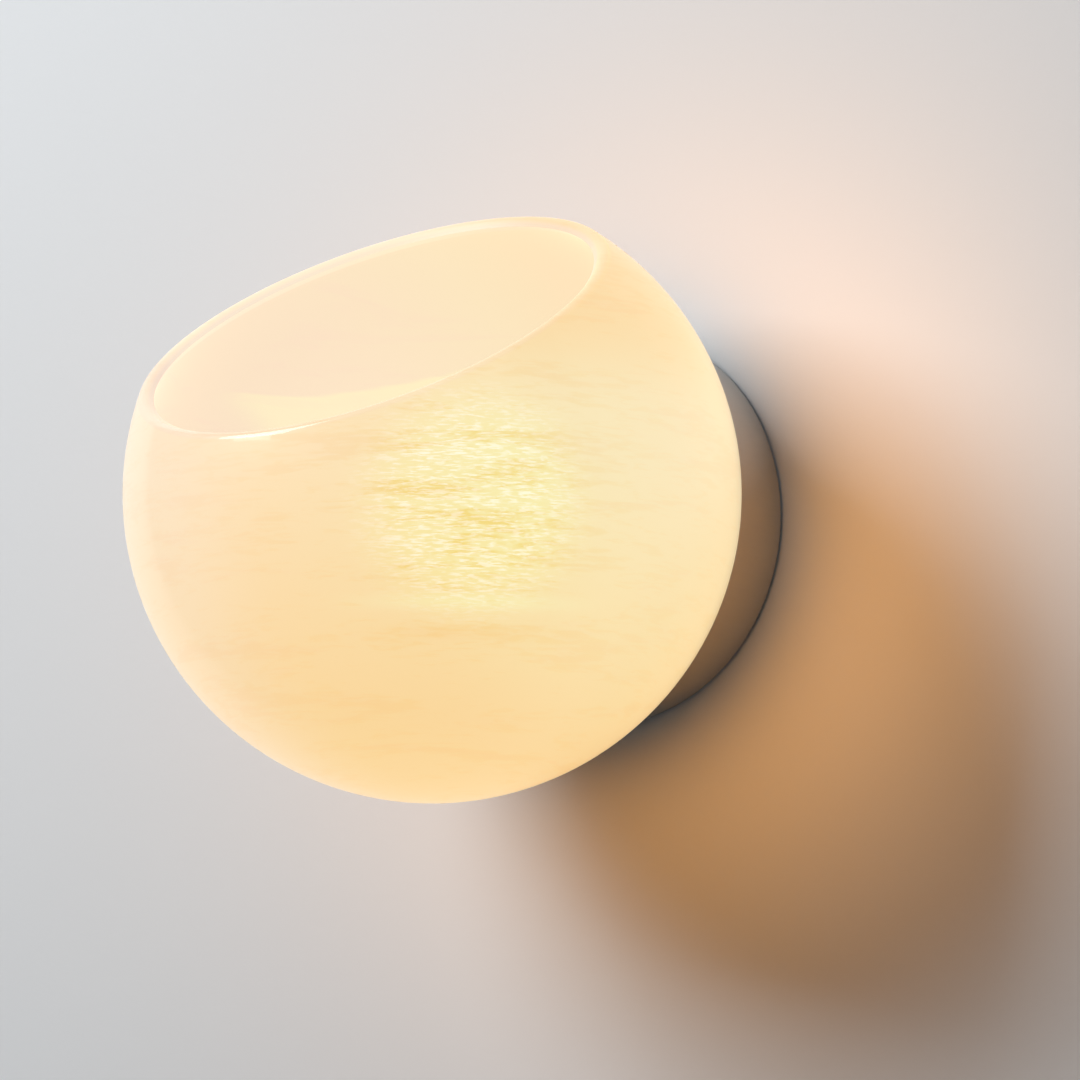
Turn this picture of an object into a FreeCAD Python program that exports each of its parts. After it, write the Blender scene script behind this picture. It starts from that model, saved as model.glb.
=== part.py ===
import FreeCAD
import Part
import math
import os

# Uplighter wall sconce: a blown-glass ball with a slanting mouth, clamped by a ring on the lampholder
# against a shallow round wall plate, with a frosted screw bulb inside. Millimetres. The wall is the plane
# Y = 0, the front faces -Y, Z is up. A "depth" is the distance out from the wall: depth d lies at Y = -d.

# ---- glass shade
shade_radius = 100.0  # outside of the ball
shade_wall = 4.5
shade_corner = 9.0  # outer radius of the turn from the ball to its flat back
shade_flat_reach = 79.0  # from the ball's centre back to the flat
shade_hole_radius = 21.6  # hole in the flat for the lampholder
mouth_tilt = 33.8  # degrees that the mouth leans away from the wall
mouth_half_angle = 52.2  # degrees from the mouth's axis to the lip

# ---- wall plate and its gasket
canopy_radius = 67.5
canopy_wall = 1.6
canopy_depth = 26.8
canopy_edge = 1.4  # radius of the front edge
canopy_hole_gap = 0.5  # round the lampholder
wall_gasket_thickness = 1.2
wall_gasket_width = 5.0
wall_gasket_inset = 0.7  # from the wall plate's side

# ---- seat and ring gaskets
seat_gasket_thickness = 1.0
seat_gasket_width = 14.0
ring_gasket_thickness = 1.2

# ---- bars that hold the wall plate to the wiring box
bar_thickness = 2.0
bar_width = 18.0
box_screw_spacing = 88.9
box_slot_length = 12.0
box_slot_width = 4.8
wall_bar_margin = 4.0  # metal beyond each slot
tab_length = 15.0  # turned end of the upright bar
tab_gap = 2.0  # between the tab and the inside of the wall plate, at the middle of the tab
tab_bend = 1.5  # inside radius of the bend
side_screw_depth = 12.0
side_screw_radius = 2.0
side_screw_head_radius = 3.6
side_screw_head_height = 2.4
side_screw_slot = 0.9
side_screw_reach = 2.0  # past the tab

# ---- threaded tube and its nut
tube_radius = 4.9
tube_bore = 3.4
nut_across_flats = 15.0
nut_height = 3.5
washer_thickness = 0.8
washer_width = 3.6
washer_split = 1.0
thread_gap = 0.1  # between any thread and its hole

# ---- earth screw and ring terminal
earth_x = -25.0
earth_screw_radius = 2.3
earth_head_radius = 4.4
earth_head_height = 2.4
earth_slot = 1.0
earth_ring_width = 2.4
earth_ring_thickness = 0.8
earth_barrel_radius = 2.0
earth_barrel_length = 7.0
earth_barrel_gap = 1.0  # below the wall bar
earth_neck_half = 1.6

# ---- terminal block
block_length = 32.0
block_height = 16.0
block_depth = 12.0
block_top = -28.0
block_corner = 1.5
block_pole_inset = 5.4  # from the block's back to the middle of its poles
pole_pitch = 10.0
pole_tube_radius = 2.8
pole_tube_bore = 1.7
pole_tube_inset = 1.0  # from the block's top and bottom
pole_screw_radius = 1.3
pole_screw_head = 2.0
pole_screw_height = 1.6
pole_screw_slot = 0.6
pole_screw_bite = 0.3  # into the tube's bore
pole_screw_offset = 4.2  # of each pole's two screws from the middle of the block
block_screw_radius = 1.5
block_screw_head = 2.6
block_screw_height = 1.8
block_screw_slot = 0.7
block_screw_sink = 3.0
block_hole_gap = 0.2

# ---- leads
lead_radius = 1.1
conductor_radius = 0.7
conductor_length = 5.0
lead_landing = 4.0  # straight run into the block
lead_strip_gap = 0.6  # between the plate and the insulation

# ---- lampholder
cap_radius = 19.0
cap_wall = 1.8
cap_length = 15.5
cap_round = 4.0
cap_nut_gap = 0.2
core_radius = 16.5
core_thickness = 2.5
core_back = 15.0  # depth of the core's back face
core_foot_width = 2.5
sleeve_root_radius = 19.0
sleeve_crest_radius = 19.8
sleeve_bore = 15.4
sleeve_front = 46.0
sleeve_thread_pitch = 3.0
sleeve_thread_turns = 6
sleeve_plain_front = 0.75
screw_shell_inner = 13.5
screw_shell_wall = 0.4
screw_shell_wave = 0.6
screw_shell_length = 27.0
screw_shell_flange = 4.0
screw_shell_plain = 3.0  # before the first wave
contact_width = 5.0
contact_length = 7.0
contact_thickness = 0.5
contact_gap = 0.2  # to the bulb's tip
socket_plate_width = 7.0
socket_plate_height = 7.0
socket_plate_thickness = 1.0
socket_plate_x = 7.0
socket_plate_z = -5.5
socket_screw_radius = 1.3
socket_screw_head = 2.8
socket_screw_head_height = 1.6
socket_screw_slot = 0.6
socket_screw_bite = 1.6  # into the core

# ---- shade ring
ring_radius = 28.0
ring_flange = 2.4
ring_hub_radius = 24.5
ring_height = 8.0
ring_chamfer = 1.0
ring_gap = 0.25
ring_notch_radius = 2.0
ring_notch_depth = 1.2
ring_notches = 12

# ---- bulb
thread_pitch = 3.63
bulb_thread_crest = 13.1
bulb_thread_root = 12.2
bulb_thread_turns = 5
bulb_plain_band = 1.2  # behind the first thread
bulb_base_wall = 0.6
bulb_base_bevel = 0.5
bulb_flare_length = 2.6
bulb_skirt_radius = 14.6
bulb_skirt_length = 4.0
bulb_tip_depth = 19.5
bulb_tip_height = 1.6
bulb_tip_radius = 4.8
bulb_tip_crown = 0.9
bulb_insulator_height = 3.0
bulb_insulator_margin = 0.8  # round the tip
bulb_globe_radius = 30.0
bulb_globe_depth = 92.0  # depth of the globe's centre
bulb_neck_radius = 14.0
bulb_neck_length = 3.0  # from the skirt to the start of the swell
bulb_neck_gap = 0.1  # between the neck and the skirt
bulb_wall = 0.9
stem_radius = 2.2
stem_foot_height = 1.6
stem_foot_gap = 0.05  # between the foot and the neck
stem_flare_width = 2.5  # half way up the flare
stem_flare_low = 3.0
stem_flare_height = 11.0
filament_radius = 1.0
filament_count = 4
filament_length = 36.0
filament_hub_width = 1.4
filament_wire_radius = 0.45
filament_spread = 12.0
board_thickness = 1.4
board_gap = 0.3
chip_height = 3.0
chip_length = 8.0
chip_width = 10.0
chip_inset = 4.0  # from the board's back end

out = "parts"
os.makedirs(out, exist_ok=True)

# ---- depths worked out from the sizes above
canopy_back = wall_gasket_thickness
canopy_front = canopy_back + canopy_depth
seat_depth = canopy_front + seat_gasket_thickness
shade_depth = seat_depth + shade_flat_reach  # depth of the ball's centre
shade_inside = seat_depth + shade_wall
ring_back = shade_inside + ring_gasket_thickness
bars_front = 2 * bar_thickness
nut_back = bars_front + washer_thickness
cap_back = nut_back + nut_height + cap_nut_gap
cap_front = cap_back + cap_length
core_front = core_back + core_thickness
bulb_shell_back = bulb_tip_depth + bulb_tip_height + bulb_insulator_height
bulb_thread_back = bulb_shell_back + bulb_plain_band
bulb_thread_front = bulb_thread_back + bulb_thread_turns * thread_pitch
bulb_skirt_back = bulb_thread_front + bulb_flare_length
bulb_skirt_front = bulb_skirt_back + bulb_skirt_length
block_middle = block_top - block_height / 2
pole_depth = bars_front + block_pole_inset
wire_depth = core_back - socket_plate_thickness - conductor_radius
wire_x = socket_plate_x + socket_screw_radius + conductor_radius + thread_gap


def at(x, depth, z):
    return FreeCAD.Vector(x, -depth, z)


outward = FreeCAD.Vector(0, -1, 0)
up = FreeCAD.Vector(0, 0, 1)
origin = FreeCAD.Vector(0, 0, 0)


# ---- ways of making a piece
def rod(radius, back, front, x=0.0, z=0.0):
    """A round bar along the lamp's axis, from one depth to another."""
    return Part.makeCylinder(radius, front - back, at(x, back, z), outward)


def ring(inner, outer, back, front, x=0.0, z=0.0):
    return rod(outer, back, front, x, z).cut(rod(inner, back - 1, front + 1, x, z))


def block(x0, x1, d0, d1, z0, z1):
    return Part.makeBox(x1 - x0, d1 - d0, z1 - z0, FreeCAD.Vector(x0, -d1, z0))


def turned(outline):
    """A full turn about the lamp's axis of an outline: (radius, depth) corners, ("arc", middle, end) arcs."""
    edges = []
    here = first = FreeCAD.Vector(outline[0][0], -outline[0][1], 0)
    for item in outline[1:]:
        if item[0] == "arc":
            middle, end = (FreeCAD.Vector(p[0], -p[1], 0) for p in item[1:])
            edges.append(Part.Arc(here, middle, end).toShape())
        else:
            end = FreeCAD.Vector(item[0], -item[1], 0)
            edges.append(Part.LineSegment(here, end).toShape())
        here = end
    if here.distanceToPoint(first) > 1e-6:
        edges.append(Part.LineSegment(here, first).toShape())
    return Part.Face(Part.Wire(edges)).revolve(origin, FreeCAD.Vector(0, 1, 0), 360)


def rounded_bar(half_length, half_width, back, front):
    """A flat bar along X with round ends."""
    middle = half_length - half_width
    bar = block(-middle, middle, back, front, -half_width, half_width)
    for side in (-1, 1):
        bar = bar.fuse(rod(half_width, back, front, side * middle))
    return bar.removeSplitter()


def slotted_screw(head_radius, head_height, radius, length, slot_width):
    """A cheese-head screw with its head's underside at the origin and its shank along -Z."""
    head = Part.makeCylinder(head_radius, head_height, origin, up)
    head = head.makeFillet(0.2 * head_height, [head.Edges[0]])
    slot_foot = FreeCAD.Vector(-2 * head_radius, -slot_width / 2, 0.55 * head_height)
    slot = Part.makeBox(4 * head_radius, slot_width, head_height, slot_foot)
    shank = Part.makeCylinder(radius, length, FreeCAD.Vector(0, 0, -length), up)
    return head.cut(slot).fuse(shank).removeSplitter()


def placed(shape, position, direction):
    """The shape moved to a position, with its +Z turned to a direction."""
    moved = shape.copy()
    moved.Placement = FreeCAD.Placement(position, FreeCAD.Rotation(up, direction))
    return moved


def rounded_path(points, share=0.45):
    """Straight runs joined by tangent arcs, each as large as its two runs allow."""
    edges = []
    here = points[0]
    for before, corner, after in zip(points, points[1:], points[2:]):
        run_in = corner - before
        run_out = after - corner
        turn = run_in.getAngle(run_out)
        reach = share * min(run_in.Length, run_out.Length)
        start = corner - run_in.normalize() * reach
        end = corner + run_out.normalize() * reach
        radius = reach / math.tan(turn / 2)
        inward = (run_out - run_in).normalize()
        middle = corner + inward * (radius / math.cos(turn / 2) - radius)
        edges.append(Part.LineSegment(here, start).toShape())
        edges.append(Part.Arc(start, middle, end).toShape())
        here = end
    edges.append(Part.LineSegment(here, points[-1]).toShape())
    return Part.Wire(edges)


def lead(points, bare_start=0.0):
    """An insulated wire along its route, with its bare ends running on straight."""
    path = rounded_path(points)
    direction = (points[1] - points[0]).normalize()
    section = Part.Wire(Part.makeCircle(lead_radius, points[0], direction))
    wire = path.makePipeShell([section], True, False)
    last = (points[-1] - points[-2]).normalize()
    wire = wire.fuse(Part.makeCylinder(conductor_radius, conductor_length, points[-1], last))
    if bare_start:
        wire = wire.fuse(Part.makeCylinder(conductor_radius, bare_start, points[0], -direction))
    return wire


# ---- wall plate
def wall_gasket():
    outer = canopy_radius - wall_gasket_inset
    return ring(outer - wall_gasket_width, outer, 0, wall_gasket_thickness)


def canopy():
    hole = sleeve_crest_radius + canopy_hole_gap
    inner = canopy_radius - canopy_wall
    knee = canopy_edge * (1 - math.sqrt(0.5))
    shell = turned(
        [
            (canopy_radius, canopy_back),
            (canopy_radius, canopy_front - canopy_edge),
            (
                "arc",
                (canopy_radius - knee, canopy_front - knee),
                (canopy_radius - canopy_edge, canopy_front),
            ),
            (hole, canopy_front),
            (hole, canopy_front - canopy_wall),
            (inner, canopy_front - canopy_wall),
            (inner, canopy_back),
        ]
    )
    drill = Part.makeCylinder(
        side_screw_radius + 2 * thread_gap,
        2 * canopy_radius + 2,
        at(0, side_screw_depth, -canopy_radius - 1),
        up,
    )
    return shell.cut(drill)


def seat_gasket():
    return ring(shade_hole_radius, shade_hole_radius + seat_gasket_width, canopy_front, seat_depth)


# ---- bars and their fasteners
def wall_bar():
    half_length = box_screw_spacing / 2 + box_slot_length / 2 + wall_bar_margin
    bar = rounded_bar(half_length, bar_width / 2, 0, bar_thickness)
    bar = bar.cut(rod(tube_radius + thread_gap, -1, bar_thickness + 1))
    bar = bar.cut(rod(earth_screw_radius + thread_gap, -1, bar_thickness + 1, earth_x))
    slot = rounded_bar(box_slot_length / 2, box_slot_width / 2, -1, bar_thickness + 1)
    for side in (-1, 1):
        bar = bar.cut(slot.translated(FreeCAD.Vector(side * box_screw_spacing / 2, 0, 0)))
    return bar


def tab_face():
    """Height of the tab's outer face."""
    return canopy_radius - canopy_wall - tab_gap


def canopy_bar():
    top = tab_face()
    half = bar_width / 2
    bar = block(-half, half, bar_thickness, bars_front, -top, top)
    for side in (-1, 1):
        z0, z1 = sorted((side * top, side * (top - bar_thickness)))
        bar = bar.fuse(block(-half, half, bar_thickness, bar_thickness + tab_length, z0, z1))
    bar = bar.removeSplitter()
    bends = [
        e
        for e in bar.Edges
        if abs(e.Length - bar_width) < 1e-6
        and abs(e.CenterOfMass.y + bars_front) < 1e-6
        and abs(abs(e.CenterOfMass.z) - (top - bar_thickness)) < 1e-6
    ]
    bar = bar.makeFillet(tab_bend, bends)
    outer = [
        e
        for e in bar.Edges
        if abs(e.Length - bar_width) < 1e-6
        and abs(e.CenterOfMass.y + bar_thickness) < 1e-6
        and abs(abs(e.CenterOfMass.z) - top) < 1e-6
    ]
    bar = bar.makeFillet(tab_bend, outer)
    bar = bar.cut(rod(tube_radius + thread_gap, 0, bars_front + 1))
    bar = bar.cut(rod(block_screw_radius + thread_gap, 0, bars_front + 1, block_screw_x(), block_middle))
    tap = Part.makeCylinder(
        side_screw_radius + thread_gap, 2 * top + 2, at(0, side_screw_depth, -top - 1), up
    )
    return bar.cut(tap)


def lock_washer():
    outer = tube_radius + thread_gap + washer_width
    washer = ring(tube_radius + thread_gap, outer, bars_front, nut_back)
    split = block(0, washer_split, bars_front - 1, nut_back + 1, 0, outer + 1)
    return washer.cut(split)


def bar_nut():
    corner = nut_across_flats / math.sqrt(3)
    corners = [
        at(corner * math.cos(math.radians(60 * k)), nut_back, corner * math.sin(math.radians(60 * k)))
        for k in range(7)
    ]
    nut = Part.Face(Part.makePolygon(corners)).extrude(outward * nut_height)
    return nut.cut(rod(tube_radius + thread_gap, nut_back - 1, nut_back + nut_height + 1))


def threaded_tube():
    return ring(tube_bore, tube_radius, 0, cap_back + cap_wall)


def canopy_screws():
    length = canopy_wall + tab_gap + bar_thickness + side_screw_reach
    screw = slotted_screw(
        side_screw_head_radius, side_screw_head_height, side_screw_radius, length, side_screw_slot
    )
    top = placed(screw, at(0, side_screw_depth, canopy_radius), up)
    bottom = placed(screw, at(0, side_screw_depth, -canopy_radius), -up)
    return Part.makeCompound([top, bottom])


def earth_screw():
    head_back = bar_thickness + earth_ring_thickness
    screw = slotted_screw(earth_head_radius, earth_head_height, earth_screw_radius, head_back, earth_slot)
    return placed(screw, at(earth_x, head_back, 0), outward)


def earth_ring():
    inner = earth_screw_radius + thread_gap
    outer = inner + earth_ring_width
    tag = ring(inner, outer, bar_thickness, bar_thickness + earth_ring_thickness, earth_x)
    barrel_top = -bar_width / 2 - earth_barrel_gap
    neck = block(
        earth_x - earth_neck_half,
        earth_x + earth_neck_half,
        bar_thickness,
        bar_thickness + earth_ring_thickness,
        barrel_top - 1,
        -outer + 0.5,
    )
    barrel = Part.makeCylinder(
        earth_barrel_radius,
        earth_barrel_length,
        at(earth_x, bar_thickness + earth_barrel_radius, barrel_top - earth_barrel_length),
        up,
    )
    return tag.fuse(neck).fuse(barrel).removeSplitter()


# ---- terminal block and leads
def pole_x(pole):
    return (pole - 1) * pole_pitch


def block_screw_x():
    return -pole_pitch / 2


def pole_screw_places():
    return [
        (pole_x(pole), block_middle + side * pole_screw_offset) for pole in range(3) for side in (-1, 1)
    ]


def terminal_block():
    half = block_length / 2
    front = bars_front + block_depth
    body = block(-half, half, bars_front, front, block_top - block_height, block_top)
    upright = [e for e in body.Edges if abs(e.Length - block_depth) < 1e-6]
    body = body.makeFillet(block_corner, upright)
    for pole in range(3):
        bore = Part.makeCylinder(
            pole_tube_radius + thread_gap,
            block_height + 2,
            at(pole_x(pole), pole_depth, block_top - block_height - 1),
            up,
        )
        body = body.cut(bore)
    for x, z in pole_screw_places():
        body = body.cut(rod(pole_screw_head + block_hole_gap, pole_depth, front + 1, x, z))
    hole = rod(block_screw_radius + block_hole_gap, 0, front + 1, block_screw_x(), block_middle)
    sink = rod(
        block_screw_head + block_hole_gap, front - block_screw_sink, front + 1, block_screw_x(), block_middle
    )
    return body.cut(hole).cut(sink)


def pole_tubes():
    tubes = []
    for pole in range(3):
        foot = at(pole_x(pole), pole_depth, block_top - block_height + pole_tube_inset)
        tube = Part.makeCylinder(pole_tube_radius, block_height - 2 * pole_tube_inset, foot, up)
        tube = tube.cut(Part.makeCylinder(pole_tube_bore, block_height, foot - up, up))
        for x, z in pole_screw_places():
            if abs(x - pole_x(pole)) < 1e-6:
                tube = tube.cut(
                    rod(pole_screw_radius + thread_gap, pole_depth, pole_depth + pole_tube_radius + 1, x, z)
                )
        tubes.append(tube)
    return Part.makeCompound(tubes)


def pole_screws():
    head_back = pole_depth + pole_tube_radius + thread_gap
    shank = pole_tube_radius + thread_gap - pole_tube_bore + pole_screw_bite
    screw = slotted_screw(pole_screw_head, pole_screw_height, pole_screw_radius, shank, pole_screw_slot)
    return Part.makeCompound([placed(screw, at(x, head_back, z), outward) for x, z in pole_screw_places()])


def block_screw():
    head_back = bars_front + block_depth - block_screw_sink
    shank = head_back - bar_thickness
    screw = slotted_screw(
        block_screw_head, block_screw_height, block_screw_radius, shank, block_screw_slot
    )
    return placed(screw, at(block_screw_x(), head_back, block_middle), outward)


def socket_lead(x_from, x_to):
    start = socket_plate_z - socket_plate_height / 2 - lead_strip_gap
    route = [
        at(x_from, wire_depth, start),
        at(x_from, wire_depth, block_top + 1.6 * lead_landing),
        at(x_to, pole_depth, block_top + lead_landing),
        at(x_to, pole_depth, block_top),
    ]
    return lead(route, socket_plate_height - 1)


def neutral_lead():
    return socket_lead(-wire_x, pole_x(1))


def line_lead():
    return socket_lead(wire_x, pole_x(2))


def earth_lead():
    start = -bar_width / 2 - earth_barrel_gap - earth_barrel_length
    depth = bar_thickness + earth_barrel_radius
    return lead(
        [
            at(earth_x, depth, start),
            at(earth_x, depth, start - 4.5),
            at(earth_x + 7.5, (depth + pole_depth) / 2, start - 6.5),
            at(pole_x(0), pole_depth, block_top + 5.5),
            at(pole_x(0), pole_depth, block_top),
        ]
    )


# ---- lampholder
def lead_ports():
    """Ways for the two leads through the lower side of the cap and of the core's foot."""
    foot = -cap_radius - 1
    return [
        Part.makeCylinder(lead_radius + 0.4, 0.7 * cap_radius, at(side * wire_x, wire_depth, foot), up)
        for side in (-1, 1)
    ]


def socket_cap():
    inner = cap_radius - cap_wall
    knee = cap_round * (1 - math.sqrt(0.5))
    shell = turned(
        [
            (tube_radius + thread_gap, cap_back),
            (cap_radius - cap_round, cap_back),
            (
                "arc",
                (cap_radius - knee, cap_back + knee),
                (cap_radius, cap_back + cap_round),
            ),
            (cap_radius, cap_front),
            (inner, cap_front),
            (inner, cap_back + cap_wall),
            (tube_radius + thread_gap, cap_back + cap_wall),
        ]
    )
    for port in lead_ports():
        shell = shell.cut(port)
    return shell


def socket_core():
    core = rod(core_radius, core_back, core_front)
    for side in (-1, 1):
        tap = rod(
            socket_screw_radius + thread_gap,
            core_back - 1,
            core_back + socket_screw_bite + thread_gap,
            side * socket_plate_x,
            socket_plate_z,
        )
        core = core.cut(tap)
    foot = ring(core_radius - core_foot_width, core_radius, cap_back + cap_wall, core_back)
    for port in lead_ports():
        foot = foot.cut(port)
    return core.fuse(foot).removeSplitter()


def socket_sleeve():
    spigot = cap_radius - cap_wall - thread_gap
    outline = [
        (sleeve_bore, core_front),
        (spigot, core_front),
        (spigot, cap_front),
        (sleeve_root_radius, cap_front),
    ]
    thread_back = sleeve_front - sleeve_plain_front - sleeve_thread_turns * sleeve_thread_pitch
    for turn in range(sleeve_thread_turns):
        foot = thread_back + turn * sleeve_thread_pitch
        rise = sleeve_crest_radius - sleeve_root_radius
        outline += [
            (sleeve_root_radius, foot),
            (sleeve_crest_radius, foot + rise),
            (sleeve_crest_radius, foot + sleeve_thread_pitch / 2),
            (sleeve_root_radius, foot + sleeve_thread_pitch / 2 + rise),
        ]
    outline += [(sleeve_root_radius, sleeve_front), (sleeve_bore, sleeve_front)]
    return turned(outline)


def screw_shell():
    """Lampholder's inner metal thread: waves rolled outwards in a thin tube, over a seat flange."""
    back = core_front
    start = back + screw_shell_plain
    turns = int((screw_shell_length - screw_shell_plain) / thread_pitch)
    inner = screw_shell_inner
    wall = screw_shell_wall
    inside = [(inner, back + wall), (inner, start)]
    outside = [(inner + wall, back), (inner + wall, start)]
    for turn in range(turns):
        foot = start + turn * thread_pitch
        crest = foot + thread_pitch / 2
        inside.append(("arc", (inner + screw_shell_wave, crest), (inner, foot + thread_pitch)))
        outside.append(("arc", (inner + wall + screw_shell_wave, crest), (inner + wall, foot + thread_pitch)))
    front = back + screw_shell_length
    body = turned(inside + [(inner, front), (0, front), (0, back + wall)])
    skin = turned(outside + [(inner + wall, front), (0, front), (0, back)])
    tube = skin.cut(body)
    return tube.cut(rod(inner - screw_shell_flange, back - 1, back + wall + 1))


def centre_contact():
    half = contact_width / 2
    rise = bulb_tip_depth - core_front - contact_gap
    bend = contact_length / 2
    foot = block(-half, half, core_front, core_front + contact_thickness, -bend, bend)
    riser = block(-half, half, core_front, core_front + rise, bend, bend + contact_thickness)
    leaf = block(-half, half, core_front + rise - contact_thickness, core_front + rise, -bend, bend)
    return foot.fuse(riser).fuse(leaf).removeSplitter()


def socket_terminals():
    plates = []
    for side in (-1, 1):
        x = side * socket_plate_x
        plate = block(
            x - socket_plate_width / 2,
            x + socket_plate_width / 2,
            core_back - socket_plate_thickness,
            core_back,
            socket_plate_z - socket_plate_height / 2,
            socket_plate_z + socket_plate_height / 2,
        )
        hole = rod(socket_screw_radius + thread_gap, wire_depth, core_back + 1, x, socket_plate_z)
        plates.append(plate.cut(hole))
    return Part.makeCompound(plates)


def socket_screws():
    """Two screws through the plates into the core, each pinching a bare wire under its head."""
    head_back = wire_depth - conductor_radius
    shank = core_back - head_back + socket_screw_bite
    screw = slotted_screw(
        socket_screw_head, socket_screw_head_height, socket_screw_radius, shank, socket_screw_slot
    )
    return Part.makeCompound(
        [placed(screw, at(side * socket_plate_x, head_back, socket_plate_z), -outward) for side in (-1, 1)]
    )


def shade_ring():
    bore = sleeve_crest_radius + ring_gap
    body = turned(
        [
            (bore, ring_back),
            (ring_radius, ring_back),
            (ring_radius, ring_back + ring_flange),
            (ring_hub_radius, ring_back + ring_flange + ring_chamfer),
            (ring_hub_radius, ring_back + ring_height - ring_chamfer),
            (ring_hub_radius - ring_chamfer, ring_back + ring_height),
            (bore, ring_back + ring_height),
        ]
    )
    for k in range(ring_notches):
        angle = 2 * math.pi * k / ring_notches
        reach = ring_radius + ring_notch_radius - ring_notch_depth
        body = body.cut(
            rod(
                ring_notch_radius,
                ring_back - 1,
                ring_back + ring_height + 1,
                reach * math.cos(angle),
                reach * math.sin(angle),
            )
        )
    return body


def ring_gasket():
    return ring(shade_hole_radius, ring_radius, shade_inside, ring_back)


# ---- glass shade
def mouth_axis():
    tilt = math.radians(mouth_tilt)
    return FreeCAD.Vector(0, -math.sin(tilt), math.cos(tilt))


def corner_points(radius, corner):
    """Where the flat, the rounded corner and the ball of this radius meet, as (radius, depth) points."""
    across = math.sqrt(
        (shade_radius - shade_corner) ** 2 - (shade_flat_reach - shade_corner) ** 2
    )
    centre = (across, seat_depth + shade_corner)
    angle = math.atan2(across, shade_flat_reach - shade_corner)
    on_flat = (across, centre[1] - corner)
    middle = (across + corner * math.sin(angle / 2), centre[1] - corner * math.cos(angle / 2))
    on_ball = (radius * math.sin(angle), shade_depth - radius * math.cos(angle))
    return on_flat, middle, on_ball


def glass_lip():
    """Fire-polished edge: a half round on the cut edge of the wall."""
    centre = at(0, shade_depth, 0)
    axis = mouth_axis()
    across = FreeCAD.Vector(1, 0, 0)
    angle = math.radians(mouth_half_angle)
    along = axis * math.cos(angle) + across * math.sin(angle)
    inward = axis * math.sin(angle) - across * math.cos(angle)
    outer = centre + along * shade_radius
    inner = centre + along * (shade_radius - shade_wall)
    crown = (outer + inner) / 2 + inward * (shade_wall / 2)
    edges = [Part.Arc(outer, crown, inner).toShape(), Part.LineSegment(inner, outer).toShape()]
    return Part.Face(Part.Wire(edges)).revolve(centre, axis, 360)


def glass_shade():
    inner_radius = shade_radius - shade_wall
    flat_out, knee_out, ball_out = corner_points(shade_radius, shade_corner)
    flat_in, knee_in, ball_in = corner_points(inner_radius, shade_corner - shade_wall)
    vessel = turned(
        [
            (shade_hole_radius, seat_depth),
            flat_out,
            ("arc", knee_out, ball_out),
            ("arc", (shade_radius, shade_depth), (0, shade_depth + shade_radius)),
            (0, shade_depth + inner_radius),
            ("arc", (inner_radius, shade_depth), ball_in),
            ("arc", knee_in, flat_in),
            (shade_hole_radius, shade_inside),
        ]
    )
    axis = mouth_axis()
    height = 1.3 * shade_radius
    cutter = Part.makeCone(
        0, height * math.tan(math.radians(mouth_half_angle)), height, at(0, shade_depth, 0), axis
    )
    vessel = vessel.cut(cutter)
    return vessel.fuse(glass_lip()).removeSplitter()


# ---- bulb
def bulb_tip():
    edge = bulb_tip_depth + bulb_tip_crown
    return turned(
        [
            (0, bulb_tip_depth),
            ("arc", (bulb_tip_radius / 2, bulb_tip_depth + bulb_tip_crown / 4), (bulb_tip_radius, edge)),
            (bulb_tip_radius, bulb_tip_depth + bulb_tip_height),
            (0, bulb_tip_depth + bulb_tip_height),
        ]
    )


def bulb_insulator():
    back = bulb_tip_depth + bulb_tip_height
    return turned(
        [
            (0, back),
            (bulb_tip_radius + bulb_insulator_margin, back),
            (bulb_thread_root - bulb_base_bevel, bulb_shell_back),
            (0, bulb_shell_back),
        ]
    )


def bulb_base():
    """Bulb's screw shell: rolled waves, closed at the back, flared at the front into a skirt for the neck."""
    outline = [
        (0, bulb_shell_back),
        (bulb_thread_root - bulb_base_bevel, bulb_shell_back),
        (bulb_thread_root, bulb_shell_back + bulb_base_bevel),
        (bulb_thread_root, bulb_thread_back),
    ]
    for turn in range(bulb_thread_turns):
        foot = bulb_thread_back + turn * thread_pitch
        crest = (bulb_thread_crest, foot + thread_pitch / 2)
        outline.append(("arc", crest, (bulb_thread_root, foot + thread_pitch)))
    outline += [
        (bulb_skirt_radius, bulb_skirt_back),
        (bulb_skirt_radius, bulb_skirt_front),
        (0, bulb_skirt_front),
    ]
    hollow = rod(
        bulb_thread_root - bulb_base_wall, bulb_shell_back + bulb_base_wall, bulb_skirt_back + 1
    )
    seat = rod(bulb_neck_radius + bulb_neck_gap, bulb_skirt_back, bulb_skirt_front + 1)
    return turned(outline).cut(hollow).cut(seat)


def globe_outline(inset):
    """Half outline of the bulb's glass, from its neck to its end, inset by a wall."""
    globe = bulb_globe_radius - inset
    neck = bulb_neck_radius - inset
    foot = bulb_skirt_front + bulb_neck_length
    rise = bulb_globe_depth - foot
    flare = (bulb_neck_radius**2 + rise**2 - bulb_globe_radius**2) / (
        2 * (bulb_globe_radius - bulb_neck_radius)
    )
    centre = bulb_neck_radius + flare
    turn = math.atan2(centre, rise)
    sweep = flare + inset
    meet = (globe * math.sin(turn), bulb_globe_depth - globe * math.cos(turn))
    lean = (math.pi / 2 - turn) / 2
    middle = (centre - sweep * math.cos(lean), foot + sweep * math.sin(lean))
    reach = (0, bulb_globe_depth + globe)
    return [(neck, foot), ("arc", middle, meet), ("arc", (globe, bulb_globe_depth), reach)]


def bulb_globe():
    back = bulb_skirt_back
    inner = bulb_neck_radius - bulb_wall
    solid = turned([(0, back), (bulb_neck_radius, back)] + globe_outline(0))
    hollow = turned([(0, back - 1), (inner, back - 1)] + globe_outline(bulb_wall))
    return solid.cut(hollow)


def filament_ends():
    """Depths at which the filaments start and stop."""
    half = filament_length / 2
    return bulb_globe_depth - half, bulb_globe_depth + half


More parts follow.
